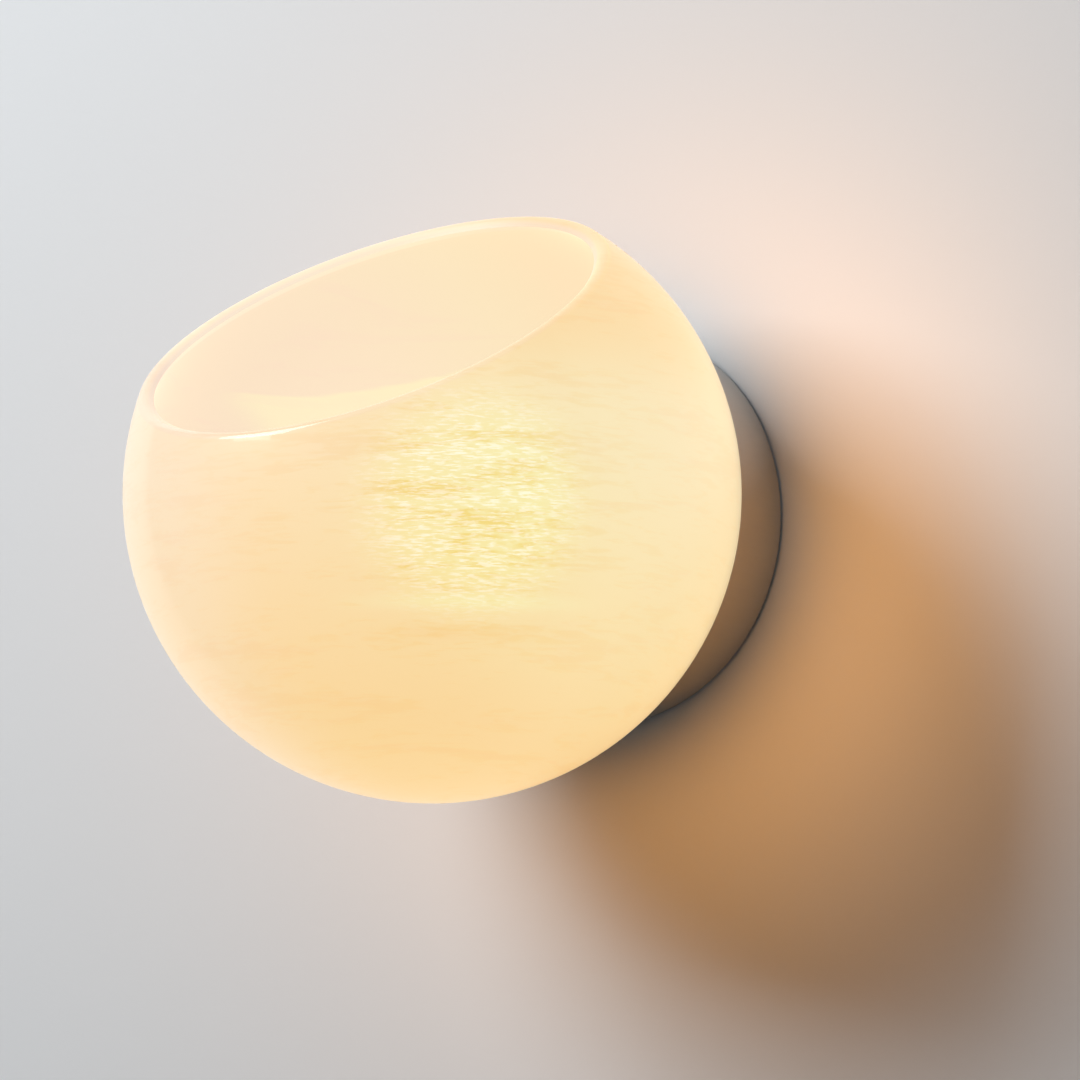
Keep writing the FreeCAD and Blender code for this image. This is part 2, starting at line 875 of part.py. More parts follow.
def bulb_stem():
    """Glass post that carries the filaments, on a flared foot sealed into the neck."""
    foot = bulb_neck_radius - bulb_wall - stem_foot_gap
    rim = bulb_skirt_back + stem_foot_height
    top = filament_ends()[1] + filament_wire_radius * 2
    return turned(
        [
            (0, bulb_skirt_back),
            (foot, bulb_skirt_back),
            (foot, bulb_skirt_back + stem_foot_height),
            (
                "arc",
                (stem_radius + stem_flare_width, rim + stem_flare_low),
                (stem_radius, rim + stem_flare_height),
            ),
            (stem_radius, top),
            (0, top),
        ]
    )


def filament_places():
    angles = [2 * math.pi * (k + 0.5) / filament_count for k in range(filament_count)]
    return [(filament_spread * math.cos(a), filament_spread * math.sin(a)) for a in angles]


def filament_wires():
    """At each end of the filaments, a collar on the post with one spoke to each filament."""
    spiders = []
    for depth, beyond in zip(filament_ends(), (-1, 1)):
        middle = depth + beyond * filament_wire_radius
        spider = rod(
            stem_radius + filament_hub_width, middle - filament_wire_radius, middle + filament_wire_radius
        )
        for x, z in filament_places():
            spoke = Part.makeCylinder(
                filament_wire_radius, filament_spread, at(0, middle, 0), at(x, 0, z)
            )
            spider = spider.fuse(spoke)
        spiders.append(spider.cut(rod(stem_radius, middle - 2, middle + 2)))
    return Part.makeCompound(spiders)


def filaments():
    back, front = filament_ends()
    return Part.makeCompound([rod(filament_radius, back, front, x, z) for x, z in filament_places()])


def driver_board():
    inner = bulb_thread_root - bulb_base_wall - board_gap
    back = bulb_shell_back + bulb_base_wall
    front = bulb_thread_front
    face = board_thickness / 2
    board = block(-face, face, back, front, -inner, inner)
    chip_back = back + chip_inset
    chip = block(
        face, face + chip_height, chip_back, chip_back + chip_length, -chip_width / 2, chip_width / 2
    )
    return board.fuse(chip).removeSplitter()


pieces = {
    "wall_gasket": wall_gasket,
    "canopy": canopy,
    "seat_gasket": seat_gasket,
    "wall_bar": wall_bar,
    "canopy_bar": canopy_bar,
    "lock_washer": lock_washer,
    "bar_nut": bar_nut,
    "threaded_tube": threaded_tube,
    "canopy_screws": canopy_screws,
    "earth_screw": earth_screw,
    "earth_ring": earth_ring,
    "terminal_block": terminal_block,
    "pole_tubes": pole_tubes,
    "pole_screws": pole_screws,
    "block_screw": block_screw,
    "neutral_lead": neutral_lead,
    "line_lead": line_lead,
    "earth_lead": earth_lead,
    "socket_cap": socket_cap,
    "socket_core": socket_core,
    "socket_sleeve": socket_sleeve,
    "screw_shell": screw_shell,
    "centre_contact": centre_contact,
    "socket_terminals": socket_terminals,
    "socket_screws": socket_screws,
    "shade_ring": shade_ring,
    "ring_gasket": ring_gasket,
    "glass_shade": glass_shade,
    "bulb_tip": bulb_tip,
    "bulb_insulator": bulb_insulator,
    "bulb_base": bulb_base,
    "bulb_globe": bulb_globe,
    "bulb_stem": bulb_stem,
    "filament_wires": filament_wires,
    "filaments": filaments,
    "driver_board": driver_board,
}

for name, make in pieces.items():
    shape = make()
    shape.exportStep(f"{out}/{name}.step")
    box = shape.BoundBox
    print(
        f"{name}: {len(shape.Solids)} solid(s), {shape.Volume / 1000:.2f} cm3, valid {shape.isValid()}, "
        f"x {box.XMin:.1f}..{box.XMax:.1f}, depth {-box.YMax:.1f}..{-box.YMin:.1f}, "
        f"z {box.ZMin:.1f}..{box.ZMax:.1f}"
    )
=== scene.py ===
import math

import bmesh
import bpy
from mathutils import Matrix, Vector


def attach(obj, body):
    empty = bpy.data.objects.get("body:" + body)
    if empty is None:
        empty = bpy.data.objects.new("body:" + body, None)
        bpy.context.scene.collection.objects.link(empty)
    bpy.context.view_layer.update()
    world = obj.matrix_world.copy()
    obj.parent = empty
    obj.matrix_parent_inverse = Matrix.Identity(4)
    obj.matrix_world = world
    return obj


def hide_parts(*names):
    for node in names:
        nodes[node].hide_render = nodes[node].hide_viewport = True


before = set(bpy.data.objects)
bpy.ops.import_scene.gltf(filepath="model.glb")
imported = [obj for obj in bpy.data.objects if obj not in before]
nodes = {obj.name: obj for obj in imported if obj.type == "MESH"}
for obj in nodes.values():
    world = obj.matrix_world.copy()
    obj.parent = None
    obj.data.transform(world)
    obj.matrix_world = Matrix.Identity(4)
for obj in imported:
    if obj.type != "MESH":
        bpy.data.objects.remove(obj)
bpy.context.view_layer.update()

wallSide = Vector((0, 1, 0))


class Wire:  # a socket in a material that can be added, multiplied and so on

    def __init__(self, sheet, socket):
        self.sheet = sheet
        self.socket = socket

    def __add__(self, other):
        return self.sheet.maths("ADD", self, other)

    def __radd__(self, other):
        return self.sheet.maths("ADD", other, self)

    def __sub__(self, other):
        return self.sheet.maths("SUBTRACT", self, other)

    def __rsub__(self, other):
        return self.sheet.maths("SUBTRACT", other, self)

    def __mul__(self, other):
        return self.sheet.maths("MULTIPLY", self, other)

    def __rmul__(self, other):
        return self.sheet.maths("MULTIPLY", other, self)

    def __abs__(self):
        return self.sheet.maths("ABSOLUTE", self, 0.0)


class Sheet:  # one material's node tree

    def __init__(self, name):
        self.material = bpy.data.materials.new(name)
        self.material.use_nodes = True
        self.tree = self.material.node_tree
        self.tree.nodes.clear()

    # any node, from its type, its settings and the values or links of its sockets
    def node(self, kind, settings=None, sockets=None, out=0):
        made = self.tree.nodes.new(kind)
        for key, value in (settings or {}).items():
            setattr(made, key, value)
        for key, value in (sockets or {}).items():
            if isinstance(value, Wire):
                self.tree.links.new(value.socket, made.inputs[key])
            elif made.inputs[key].type == "RGBA":
                made.inputs[key].default_value = (*value, 1.0)
            else:
                made.inputs[key].default_value = value
        return Wire(self, made.outputs[out]) if made.outputs else made

    def maths(self, operation, first, second):
        return self.node("ShaderNodeMath", {"operation": operation}, {0: first, 1: second})

    def vector(self, operation, first, second=(0, 0, 0), out="Vector"):
        return self.node("ShaderNodeVectorMath", {"operation": operation}, {0: first, 1: second}, out)

    def clamp(self, value):
        return self.node("ShaderNodeClamp", None, {0: value, 1: 0.0, 2: 1.0})

    def remap(self, value, low, high, newLow=0.0, newHigh=1.0):
        sockets = {0: value, 1: low, 2: high, 3: newLow, 4: newHigh}
        return self.node("ShaderNodeMapRange", {"interpolation_type": "SMOOTHSTEP"}, sockets)

    def mix(self, factor, first, second):
        colour = 2  # the Mix node's third output
        return self.node("ShaderNodeMix", {"data_type": "RGBA"}, {0: factor, 6: first, 7: second}, colour)

    def place(self, scale=(1, 1, 1), turn=(0, 0, 0)):
        here = self.node("ShaderNodeTexCoord", None, None, "Object")
        return self.node("ShaderNodeMapping", None, {"Vector": here, "Scale": scale, "Rotation": turn})

    def noise(self, where, scale, detail=3.0, rough=0.55, twist=0.0):
        sockets = {"Vector": where, "Scale": scale, "Detail": detail, "Roughness": rough, "Distortion": twist}
        return self.node("ShaderNodeTexNoise", None, sockets, "Fac")

    # an even colour plus each colour times its factor
    def tones(self, even, parts):
        total = even
        for factor, colour in parts:
            scaled = self.node("ShaderNodeVectorMath", {"operation": "SCALE"}, {0: colour, "Scale": factor})
            total = self.vector("ADD", total, scaled)
        return total

    def bump(self, height, strength, distance):
        return self.node("ShaderNodeBump", None, {"Height": height, "Strength": strength, "Distance": distance})

    def finish(self, sockets):
        shader = self.node("ShaderNodeBsdfPrincipled", None, sockets)
        self.node("ShaderNodeOutputMaterial", None, {"Surface": shader})
        return self.material


def srgb(red, green, blue):  # linear colour from 0 to 255 display numbers
    return tuple(((c / 255 + 0.055) / 1.055) ** 2.4 for c in (red, green, blue))


def clearSelection():
    if bpy.context.object and bpy.context.object.mode != "OBJECT":
        bpy.ops.object.mode_set(mode="OBJECT")
    bpy.ops.object.select_all(action="DESELECT")


# selects vertices, edges or faces by a test on each, in edit mode
def pick(piece, test, kind="verts"):
    mesh = bmesh.from_edit_mesh(piece.data)
    for group in (mesh.verts, mesh.edges, mesh.faces):
        for item in group:
            item.select = False
    for item in getattr(mesh, kind):
        if test(item):
            item.select_set(True)
    mesh.select_flush_mode()
    bmesh.update_edit_mesh(piece.data)


# puts a finished piece's place into its mesh and leaves its object at the origin
def settle(piece, name):
    bpy.ops.object.mode_set(mode="OBJECT")
    bpy.ops.object.transform_apply(location=True, rotation=True, scale=True)
    piece.name = name
    piece.data.name = name
    return piece


def applyAll(piece):
    bpy.context.view_layer.objects.active = piece
    for modifier in list(piece.modifiers):
        bpy.ops.object.modifier_apply(modifier=modifier.name)


camera = {
    "azimuth": 33.5, "elevation": -6.8, "distance": 1.6,  # seen from the ball's centre
    "lens": 164.7, "sensor": 36.0, "nearest": 0.05, "farthest": 20,
    "framePixels": 1080, "ballX": 432.5, "ballY": 494.2,  # where the ball's centre comes in the frame
}
ballCentre = Vector((0, -0.108, 0))
ballRadius = 0.100


def makeCamera():
    turn = math.radians(camera["azimuth"])
    lift = math.radians(camera["elevation"])
    back = Vector((math.sin(turn) * math.cos(lift), -math.cos(turn) * math.cos(lift), math.sin(lift)))
    right = Vector((math.cos(turn), math.sin(turn), 0))
    up = back.cross(right)
    focal = camera["lens"] / camera["sensor"] * camera["framePixels"]
    half = camera["framePixels"] / 2
    ray = Vector(((camera["ballX"] - half) / focal, (half - camera["ballY"]) / focal, -1)).normalized()
    data = bpy.data.cameras.new("sconceCamera")
    data.lens = camera["lens"]
    data.sensor_width = camera["sensor"]
    data.clip_start = camera["nearest"]
    data.clip_end = camera["farthest"]
    holder = bpy.data.objects.new("sconceCamera", data)
    bpy.context.scene.collection.objects.link(holder)
    place = ballCentre - camera["distance"] * (ray.x * right + ray.y * up + ray.z * back)
    holder.matrix_world = Matrix.Translation(place) @ Matrix((right, up, back)).transposed().to_4x4()
    bpy.context.scene.camera = holder


makeCamera()
print("camera ready")


stage = {
    "wallHalf": 2.2, "holeRadius": 0.058, "holeSides": 128, "floorDrop": 2.1, "wallOffset": 0.0004,
    "wallColour": (0.80, 0.80, 0.805), "floorColour": (0.78, 0.77, 0.75),
    "grainScale": 260.0, "grainBump": 0.12, "grainHeight": 0.0004,
    "cloudScale": 1.4, "cloudShare": 0.5, "cloudTint": 0.96, "rough": 0.62, "specular": 0.25,
}
light = {
    "keyPlace": (-0.97, -1.45, 1.05), "keySize": 1.01, "keyPower": 39.4, "keyColour": (0.925, 0.970, 1.000),
    "fillPlace": (0.51, -0.75, 1.30), "fillSize": 1.2, "fillPower": 2.9, "fillColour": (0.75, 0.90, 1.00),
    # warm light that the glass throws on the wall
    "glowShift": (0.030, 0.028, -0.005), "glowRadius": 0.062, "glowPower": 0.92, "glowColour": (1.000, 0.455, 0.110),
    # seen only in the gloss of the lip
    "cardPlace": (-1.16, -1.80, 0.79), "cardSize": 0.62, "cardPower": 7.0,
    # behind the wall, for the back of the wall plate
    "backPlace": (0.9, 2.2, 0.8), "backSize": 1.0, "backPower": 30.0,
    "airStrength": 0.02, "backdrop": 0.5, "white": (1, 1, 1),
}


def stagePaint(name, colour, seeThroughBack):
    sheet = Sheet(name)
    grain = sheet.noise(sheet.place(), stage["grainScale"], 4.0)
    cloud = sheet.noise(sheet.place(), stage["cloudScale"], 2.0)
    tint = sheet.mix(sheet.clamp(cloud * stage["cloudShare"]), colour, tuple(stage["cloudTint"] * c for c in colour))
    sockets = {
        "Base Color": tint, "Roughness": stage["rough"], "Specular IOR Level": stage["specular"],
        "Normal": sheet.bump(grain, stage["grainBump"], stage["grainHeight"]),
    }
    shader = sheet.node("ShaderNodeBsdfPrincipled", None, sockets)
    if seeThroughBack:
        clear = sheet.node("ShaderNodeBsdfTransparent")
        behind = sheet.node("ShaderNodeNewGeometry", None, None, "Backfacing")
        shader = sheet.node("ShaderNodeMixShader", None, {0: behind, 1: shader, 2: clear})
    sheet.node("ShaderNodeOutputMaterial", None, {"Surface": shader})
    return sheet.material


# a wall with the round hole of the wiring box, hidden by the wall plate
def makeWall():
    clearSelection()
    bpy.ops.mesh.primitive_circle_add(vertices=stage["holeSides"], radius=stage["holeRadius"], fill_type="NOTHING",
                                      location=(0, stage["wallOffset"], 0), rotation=(math.pi / 2, 0, 0))
    wall = bpy.context.object
    bpy.ops.object.mode_set(mode="EDIT")
    bpy.ops.mesh.select_all(action="SELECT")
    grow = stage["wallHalf"] / stage["holeRadius"]
    bpy.ops.mesh.extrude_region_move()
    bpy.ops.transform.resize(value=(grow, 1, grow), center_override=(0, stage["wallOffset"], 0))
    bpy.ops.mesh.select_all(action="SELECT")
    bpy.ops.mesh.normals_make_consistent(inside=False)
    settle(wall, "backWall")
    if wall.data.polygons[0].normal.y > 0:
        wall.data.flip_normals()
    wall.data.materials.append(stagePaint("wallPaint", stage["wallColour"], True))
    return wall


def makeFloor():
    clearSelection()
    bpy.ops.mesh.primitive_plane_add(size=2 * stage["wallHalf"], location=(0, -stage["wallHalf"], -stage["floorDrop"]))
    floor = settle(bpy.context.object, "paleFloor")
    floor.data.materials.append(stagePaint("floorPaint", stage["floorColour"], False))
    return floor


def lamp(name, kind, place, power, colour, **settings):
    data = bpy.data.lights.new(name, kind)
    data.energy = power
    data.color = colour
    for key, value in settings.items():
        setattr(data, key, value)
    holder = bpy.data.objects.new(name, data)
    bpy.context.scene.collection.objects.link(holder)
    holder.location = place
    holder.rotation_mode = "QUATERNION"
    holder.rotation_quaternion = (Vector(place) - ballCentre).to_track_quat("Z", "Y")
    return holder


def makeLights():
    for part, name in (("key", "keyWindow"), ("fill", "fillWindow")):
        lamp(name, "AREA", light[part + "Place"], light[part + "Power"], light[part + "Colour"],
             size=light[part + "Size"])
    card = lamp("glossCard", "AREA", light["cardPlace"], light["cardPower"], light["white"], size=light["cardSize"])
    card.visible_diffuse = False
    lamp("boxDaylight", "AREA", light["backPlace"], light["backPower"], light["white"], size=light["backSize"])
    glow = lamp("glowLamp", "POINT", ballCentre + Vector(light["glowShift"]), light["glowPower"], light["glowColour"],
                shadow_soft_size=light["glowRadius"])
    glow.visible_camera = False
    glow.visible_glossy = False
    return glow


# the eye sees a pale backdrop round the wall, the pieces get only a little of its light
def makeAir():
    air = bpy.data.worlds.new("roomAir")
    air.use_nodes = True
    tree = air.node_tree
    dim = tree.nodes["Background"]
    pale = tree.nodes.new("ShaderNodeBackground")
    for node, strength in ((dim, light["airStrength"]), (pale, light["backdrop"])):
        node.inputs["Color"].default_value = (*light["white"], 1)
        node.inputs["Strength"].default_value = strength
    choice = tree.nodes.new("ShaderNodeMixShader")
    tree.links.new(tree.nodes.new("ShaderNodeLightPath").outputs["Is Camera Ray"], choice.inputs[0])
    tree.links.new(dim.outputs[0], choice.inputs[1])
    tree.links.new(pale.outputs[0], choice.inputs[2])
    tree.links.new(choice.outputs[0], tree.nodes["World Output"].inputs["Surface"])
    bpy.context.scene.world = air
    bpy.context.scene.view_settings.view_transform = "Standard"


wall = makeWall()
floor = makeFloor()
glowLamp = makeLights()
makeAir()
print("stage ready")


shade = {
    "wall": 0.0045, "corner": 0.009, "flatReach": 0.079, "holeRadius": 0.0216,
    "mouthTilt": 33.8, "mouthHalfAngle": 52.2,
    "segments": 192, "rings": 96, "cornerSteps": 6, "lipSteps": 6, "lipBevel": 0.495,  # in walls
    "nearCut": 0.0002, "evenOut": 0.0008,  # points of the back cut that lie nearer than this become one
    "samePoint": 0.00002, "nearLip": 0.0002, "smoothUpTo": 40, "flatNormal": 0.9999,
}


def shadeMesh():
    tilt = math.radians(shade["mouthTilt"])
    mouthAxis = Vector((0, -math.sin(tilt), math.cos(tilt)))
    halfWall = shade["wall"] / 2
    lipAngle = math.radians(shade["mouthHalfAngle"]) - halfWall / (ballRadius - halfWall)
    clearSelection()
    bpy.ops.mesh.primitive_uv_sphere_add(segments=shade["segments"], ring_count=shade["rings"], radius=ballRadius,
                                         location=ballCentre, rotation=(tilt, 0, 0))
    piece = bpy.context.object
    bpy.ops.object.transform_apply(location=True, rotation=True, scale=True)
    bpy.ops.object.mode_set(mode="EDIT")
    bpy.ops.mesh.select_all(action="SELECT")
    bpy.ops.mesh.bisect(plane_co=ballCentre + mouthAxis * ballRadius * math.cos(lipAngle), plane_no=mouthAxis,
                        clear_outer=True)
    # flat back: cut where the rounded corner starts, then drawn in to the hole
    inner = ballRadius - shade["corner"]
    drop = shade["flatReach"] - shade["corner"]
    across = math.sqrt(inner ** 2 - drop ** 2)
    meet = math.atan2(across, drop)
    cutDepth = ballRadius * math.cos(meet)
    bpy.ops.mesh.select_all(action="SELECT")
    bpy.ops.mesh.bisect(plane_co=ballCentre + wallSide * cutDepth, plane_no=wallSide, clear_outer=True)
    edgeY = ballCentre.y + cutDepth
    radius = ballRadius * math.sin(meet)
    rimY = edgeY

    def onRim(edge):
        return edge.is_boundary and abs(edge.verts[0].co.y - rimY) < shade["nearCut"]

    # the rim of that cut, brought level and freed of crowded points
    pick(piece, onRim, "edges")
    bpy.ops.transform.resize(value=(1, 0, 1), center_override=(0, rimY, 0))
    bpy.ops.mesh.remove_doubles(threshold=shade["evenOut"])
    pick(piece, onRim, "edges")
    for step in range(1, shade["cornerSteps"] + 1):
        angle = meet * (1 - step / shade["cornerSteps"])
        newRadius = across + shade["corner"] * math.sin(angle)
        newY = ballCentre.y + drop + shade["corner"] * math.cos(angle)
        bpy.ops.mesh.extrude_edges_move(TRANSFORM_OT_translate={"value": (0, newY - edgeY, 0)})
        scale = newRadius / radius
        bpy.ops.transform.resize(value=(scale, 1, scale), center_override=(0, newY, 0))
        edgeY = newY
        radius = newRadius
    bpy.ops.mesh.extrude_edges_move()
    scale = shade["holeRadius"] / radius
    bpy.ops.transform.resize(value=(scale, 1, scale), center_override=(0, edgeY, 0))
    bpy.ops.mesh.select_all(action="SELECT")
    bpy.ops.mesh.remove_doubles(threshold=shade["samePoint"])
    bpy.ops.mesh.normals_make_consistent(inside=False)
    bpy.ops.object.mode_set(mode="OBJECT")
    middle = piece.data.polygons[0]
    if middle.normal.dot(middle.center - ballCentre) < 0:
        piece.data.flip_normals()
    solid = piece.modifiers.new("glassWall", "SOLIDIFY")
    solid.thickness = shade["wall"]
    solid.offset = -1
    solid.use_even_offset = False
    applyAll(piece)
    roundLip(piece, mouthAxis, lipAngle)
    return settle(piece, "glassShade")


# half-rounds the cut edge of the mouth
def roundLip(piece, mouthAxis, lipAngle):
    bpy.ops.object.mode_set(mode="EDIT")
    limit = math.cos(lipAngle)

    def onLip(vertex):
        away = vertex.co - ballCentre
        return away.length > 0.9 * ballRadius and abs(away.normalized().dot(mouthAxis) - limit) < shade["nearLip"]

    def reach(vertex):
        return (vertex.co - ballCentre).length

    # the two rings of the cut, and not the short edges between them
    pick(piece, lambda e: onLip(e.verts[0]) and onLip(e.verts[1])
         and abs(reach(e.verts[0]) - reach(e.verts[1])) < 0.2 * shade["wall"], "edges")
    bpy.ops.mesh.bevel(offset=shade["wall"] * shade["lipBevel"], offset_type="OFFSET", segments=shade["lipSteps"],
                       profile=0.5, affect="EDGES", clamp_overlap=True)
    bpy.ops.object.mode_set(mode="OBJECT")


glass = {  # what the lit glass gives off: linear colours that add up, each over its own stretch in metres
    "even": (0.93, 0.70, 0.415), "low": (0.03, -0.04, -0.13),
    "right": (0.01, 0.08, 0.06), "rightRamp": (0.04, 0.10),
    "left": (0.0, 0.03, 0.08), "leftRamp": (0.01, -0.04),
    "high": (0.0, -0.08, -0.11), "highRamp": (0.015, 0.05), "highAcross": (-0.01, 0.04),
    # inner wall, and the pool of the bulb's own light on its far side
    "inside": (-0.10, -0.02, 0.03), "wallRamp": (0.0964, 0.0982),
    "insideLeft": (0.0, -0.02, 0.05), "insideLeftRamp": (0.0, -0.09),
    "insideRight": (0.0, -0.06, -0.05), "insideRightRamp": (-0.03, 0.04),
    "pool": (0.02, 0.075, 0.0), "poolEdge": 0.0622, "poolSlope": 0.247, "poolWave": 0.006,
    "poolLine": (-0.0012, 0.0004), "poolAcross": (-0.090, -0.084), "poolDepth": (-0.112, -0.094),
    # hot spots in front of the bulb and behind it
    "frontSpot": (0.66, -0.735, -0.15), "backSpot": (-0.95, -0.10, -0.20),
    "core": (0.0, 0.05, -0.04), "coreRamp": (0.018, 0.044), "halo": (0.01, 0.05, 0.02), "haloRamp": (0.0, 0.082),
    # streaks in the glass, from fine to broad: scale, turn, detail, twist
    "fine": ((250, 250, 1900), (0, 0, 0), 3.0, 0.4), "dashes": ((95, 95, 700), (0.05, 0.03, 0), 3.0, 0.5),
    "broad": ((15, 15, 95), (-0.06, 0.04, 0), 3.0, 0.8), "streakRough": 0.6,
    # spark: painted flecks of the bulb's light caught in the streaks, shown only over the hot spots
    "spark": (0.08, 0.14, 0.30), "sparkFine": 0.75, "sparkRamp": (0.46, 0.61),
    "tan": (-0.04, -0.13, -0.20), "tanRamp": (0.49, 0.60), "tanEven": 0.16, "tanCore": 0.5, "tanHalo": 0.25,
    "rose": (0.0, -0.03, 0.0), "roseRamp": (0.52, 0.68), "roseEven": 0.35, "roseInside": 0.15,
    # two level bands under the front spot
    "paleBand": (0.0, 0.06, 0.05), "paleHeight": -0.0445, "tanBand": (0.0, -0.03, -0.04), "tanHeight": -0.0535,
    "bandRamp": (0.0, 0.004), "bandReach": (0.03, 0.06),
    # the rounded lip, its far half and the bright line on its near half
    "lip": (-0.02, -0.03, 0.0), "lipAngles": (0.006, -0.004), "farRamp": (-0.165, -0.135),
    "farLeft": (0.07, 0.09, 0.06), "farLeftRamp": (0.02, -0.03),
    "farRight": (0.03, 0.04, 0.03), "farRightRamp": (-0.02, 0.03),
    "farLine": (-0.35, -0.45, -0.40), "outerRamp": (0.0996, 0.0999),
    "glint": (0.10, 0.30, 0.45), "innerRamp": (0.0968, 0.0974), "glintFrom": (0.028, 0.036),
    "glintTo": (0.058, 0.066), "glintDepth": (-0.16, -0.17),
    # gloss
    "body": (0.12, 0.115, 0.11), "rough": 0.35, "specular": 0.2, "coat": 0.4, "coatRough": 0.03,
    "dullAngles": (0.02, 0.0), "farDull": 0.95, "bumpStrength": 0.03, "bumpHeight": 0.0004,
}


# cased white glass with amber streaks, lit from within
def paintGlass():
    sheet = Sheet("streakyGlass")
    here = sheet.place()
    across, depth, height = (sheet.node("ShaderNodeSeparateXYZ", None, {0: here}, axis) for axis in "XYZ")

    def distance(point):
        return sheet.vector("DISTANCE", here, point, "Value")

    def rise(value, name):  # 0 to 1 over the named stretch
        return sheet.remap(value, *glass[name])

    def fall(value, name):  # 1 to 0 over the named stretch
        return sheet.remap(value, *glass[name], 1.0, 0.0)

    def streaks(name):
        scale, turn, detail, twist = glass[name]
        return sheet.noise(sheet.place(scale, turn), 1.0, detail, glass["streakRough"], twist)

    shell = distance(ballCentre)
    inside = fall(shell, "wallRamp")
    outside = 1 - inside
    frontAway, backAway = (distance(ballCentre + ballRadius * Vector(glass[spot]).normalized())
                           for spot in ("frontSpot", "backSpot"))
    core = fall(frontAway, "coreRamp") + fall(backAway, "coreRamp")
    halo = fall(frontAway, "haloRamp") + fall(backAway, "haloRamp")
    low = sheet.clamp(height * (-1 / ballRadius))

    # how near the cut edge of the mouth: 1 on the rounded lip
    tilt = math.radians(shade["mouthTilt"])
    edge = math.radians(shade["mouthHalfAngle"])
    outward = sheet.vector("NORMALIZE", sheet.vector("SUBTRACT", here, ballCentre))
    lean = sheet.vector("DOT_PRODUCT", outward, (0, -math.sin(tilt), math.cos(tilt)), "Value")
    lip = sheet.remap(lean, *(math.cos(edge + step) for step in glass["lipAngles"]))
    dull = sheet.remap(lean, *(math.cos(edge + step) for step in glass["dullAngles"]))
    far = rise(depth, "farRamp")
    farLeft = lip * far * rise(across, "farLeftRamp")
    farRight = lip * far * rise(across, "farRightRamp")
    farLine = farLeft * rise(shell, "outerRamp")
    glint = lip * fall(shell, "innerRamp") * rise(across, "glintFrom")
    glint = glint * fall(across, "glintTo") * rise(depth, "glintDepth")

    fine, dashes, broad = (streaks(name) for name in ("fine", "dashes", "broad"))
    # sparks: painted bright flecks of bulb light in the streak pattern, used only over the hot spots
    sparks = rise(fine * glass["sparkFine"] + dashes * (1 - glass["sparkFine"]), "sparkRamp")
    # amber streaks are the glass's own colour, made stronger over the painted hot spots where the bulb's light shows
    # them
    tans = rise(dashes * 0.5 + broad * 0.5, "tanRamp")
    tans = tans * (glass["tanEven"] + glass["tanCore"] * core + glass["tanHalo"] * halo)
    roses = rise(broad, "roseRamp") * (glass["roseEven"] + glass["roseInside"] * inside)
    poolTop = across * glass["poolSlope"] + glass["poolEdge"] + (broad - 0.5) * glass["poolWave"]
    pool = inside * fall(height - poolTop, "poolLine") * rise(across, "poolAcross") * rise(depth, "poolDepth")

    def band(name):
        return fall(abs(height - glass[name]), "bandRamp") * fall(frontAway, "bandReach")

    tone = sheet.tones(glass["even"], [
        (low, glass["low"]),
        (inside, glass["inside"]),
        (rise(across, "rightRamp") * outside, glass["right"]),
        (rise(across, "leftRamp") * outside, glass["left"]),
        (rise(height, "highRamp") * rise(across, "highAcross") * outside, glass["high"]),
        (pool, glass["pool"]),
        (halo * outside, glass["halo"]),
        (core * outside, glass["core"]),
        (sparks * core * outside, glass["spark"]),
        (tans * outside, glass["tan"]),
        (roses, glass["rose"]),
        (inside * rise(across, "insideLeftRamp"), glass["insideLeft"]),
        (inside * rise(across, "insideRightRamp"), glass["insideRight"]),
        (farLine, glass["farLine"]),
        (farLeft, glass["farLeft"]),
        (farRight, glass["farRight"]),
        (glint, glass["glint"]),
        (band("paleHeight"), glass["paleBand"]),
        (band("tanHeight"), glass["tanBand"]),
        (lip, glass["lip"]),
    ])
    return sheet.finish({
        "Base Color": glass["body"], "Roughness": glass["rough"], "Specular IOR Level": glass["specular"],
        "Coat Weight": glass["coat"] * outside * (1 - dull * far * glass["farDull"]),
        "Coat Roughness": glass["coatRough"], "Emission Color": tone, "Emission Strength": 1.0,
        "Normal": sheet.bump(fine, glass["bumpStrength"], glass["bumpHeight"]),
    })


glassShade = shadeMesh()
bpy.ops.object.shade_smooth_by_angle(angle=math.radians(shade["smoothUpTo"]))
for face in glassShade.data.polygons:  # the flat back stays flat
    if abs(face.normal.y) > shade["flatNormal"]:
        face.use_smooth = False
glassShade.data.materials.append(paintGlass())
glassShade.data.materials[0].cycles.emission_sampling = "NONE"  # a lamp inside does its lighting
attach(glassShade, "shade")
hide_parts("glass_shade")
print("glass shade ready", len(glassShade.data.polygons))


metalGrain = {
    "scale": (40, 40, 900), "smudgeScale": 38.0, "dark": 0.86, "lineShare": 0.6,
    "polish": 0.08, "lineDull": 0.12, "smudgeDull": 0.10, "bump": 0.1, "bumpHeight": 0.0002,
}
metals = {
    "satinNickel": {"colour": (0.60, 0.58, 0.55), "rough": 0.34, "on": ("canopy", "canopy_screws")},
    "zincSteel": {"colour": (0.62, 0.63, 0.62), "rough": 0.38,
                  "on": ("wall_bar", "canopy_bar", "lock_washer", "threaded_tube")},
    "plainBrass": {"colour": (0.80, 0.60, 0.28), "rough": 0.28,
                   "on": ("bar_nut", "earth_ring", "pole_tubes", "screw_shell", "centre_contact", "socket_terminals")},
    "platedScrew": {"colour": (0.58, 0.58, 0.58), "rough": 0.30,
                    "on": ("pole_screws", "block_screw", "socket_screws", "filament_wires")},
    "greenScrew": {"colour": (0.12, 0.40, 0.18), "rough": 0.4, "on": ("earth_screw",)},
    "bulbAluminium": {"colour": (0.78, 0.78, 0.79), "rough": 0.3, "on": ("bulb_base",)},
    "solderTip": {"colour": (0.55, 0.55, 0.56), "rough": 0.45, "on": ("bulb_tip",)},
}
plasticGrain = {
    "fineScale": 900.0, "smudgeScale": 60.0, "polish": 0.06, "smudgeDull": 0.14, "bump": 0.08, "bumpHeight": 0.0002,
}
